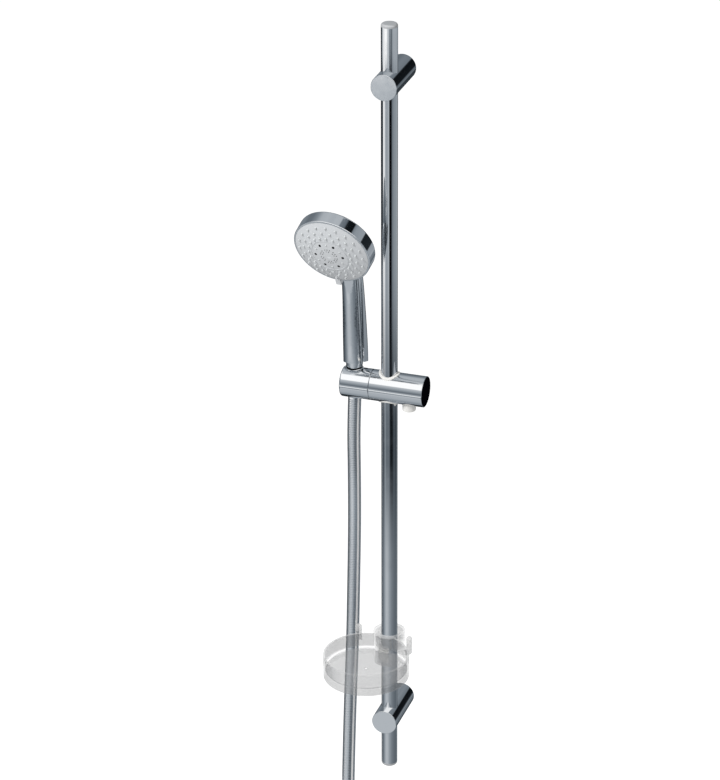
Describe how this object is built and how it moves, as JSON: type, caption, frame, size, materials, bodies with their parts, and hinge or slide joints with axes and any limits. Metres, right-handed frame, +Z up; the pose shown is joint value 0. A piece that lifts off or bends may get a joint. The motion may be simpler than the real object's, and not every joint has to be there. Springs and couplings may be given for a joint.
{
  "type": "shower slide rail",
  "caption": "Wall-mounted shower slide rail with a sliding, swivelling and tilting handset holder, a hand shower on a hose, and a clear soap dish clipped to the rail.",
  "frame": {"origin": "on the wall plane, midway between the two wall-screw holes", "axes": "+Z up along the rail, +Y into the wall, +X to the right as seen from in front"},
  "size_m": [0.2648, 0.1683, 1.2461],
  "materials": {
    "chrome_rail": "polished chrome",
    "chrome_bracket": "polished chrome",
    "chrome_slider": "polished chrome",
    "chrome_handset": "polished chrome",
    "cast_boss": "die-cast zinc alloy",
    "steel": "plain stainless steel",
    "brass": "turned brass",
    "pale_plastic": "smooth off-white",
    "black_plastic": "smooth black",
    "seal": "soft rubber",
    "spray_grey": "smooth light grey",
    "nozzle_white": "soft white silicone",
    "silver_hose": "silver foil under clear plastic",
    "clear_dish": "clear polycarbonate, slightly frosted",
    "cream_pad": "soft cream plastic"
  },
  "bodies": {
    "rail": {"rail_tube": "chrome_rail", "rail_cap_top": "chrome_rail", "rail_cap_bottom": "chrome_rail", "bracket_top": "chrome_bracket", "bracket_bottom": "chrome_bracket", "wall_boss_top": "cast_boss", "wall_boss_bottom": "cast_boss", "bracket_grub_screws": "steel", "rail_lock_screws": "steel"},
    "slider_grip": {"grip_ring": "pale_plastic"},
    "slider": {"slider_body": "chrome_slider", "slider_bush": "pale_plastic", "slider_end_cap": "black_plastic", "friction_washer": "pale_plastic", "pivot_spring_washer": "steel", "brake_spring": "steel", "hose_tube": "silver_hose", "hose_coil": "silver_hose", "coil_tie": "black_plastic", "hose_end_ferrule": "chrome_handset", "hose_end_nut": "chrome_handset"},
    "holder": {"handset_holder": "chrome_slider", "pivot_screw": "steel", "hose_cone_nut": "chrome_handset", "hose_ferrule": "brass", "hose_seal": "seal", "handset_body": "chrome_handset", "flow_divider": "spray_grey"},
    "spray_face": {"spray_plate": "spray_grey", "nozzle_mat": "nozzle_white"},
    "button": {"release_button": "pale_plastic"},
    "brake": {"brake_shoe": "pale_plastic"},
    "dish_grip": {"dish_pad": "cream_pad"},
    "dish": {"soap_dish": "clear_dish"}
  },
  "joints": [
    {"name": "slider_height", "type": "slide", "parent": "rail", "child": "slider_grip", "axis": [0, 0, 1], "range_m": [-0.1, 0.338]},
    {"name": "slider_swivel", "type": "hinge", "parent": "slider_grip", "child": "slider", "pos_m": [0, -0.052, 0.034], "axis": [0, 0, 1], "range_deg": [-26, 14]},
    {"name": "holder_tilt", "type": "hinge", "parent": "slider", "child": "holder", "pos_m": [-0.0464, -0.052, 0.034], "axis": [1, 0, 0], "range_deg": [-6, 55]},
    {"name": "spray_select", "type": "hinge", "parent": "holder", "child": "spray_face", "pos_m": [-0.0522, -0.11041, 0.2289], "axis": [-0.1054, -0.9146, -0.3903], "range_deg": [-25, 25]},
    {"name": "button_press", "type": "slide", "parent": "slider", "child": "button", "axis": [0, 0, 1], "range_m": [0, 0.003], "stiffness_N_per_m": 1500},
    {"name": "brake_release", "type": "slide", "parent": "slider", "child": "brake", "axis": [1, 0, 0], "range_m": [0, 0.0015], "deforming": ["brake_spring"]},
    {"name": "dish_height", "type": "slide", "parent": "rail", "child": "dish_grip", "axis": [0, 0, 1], "range_m": [-0.06, 0.09]},
    {"name": "dish_swivel", "type": "hinge", "parent": "dish_grip", "child": "dish", "pos_m": [0, -0.052, -0.32], "axis": [0, 0, 1], "range_deg": [-12, 70]}
  ],
  "couplings": [
    {"joint": "brake_release", "follows": "button_press", "ratio": 0.5}
  ]
}
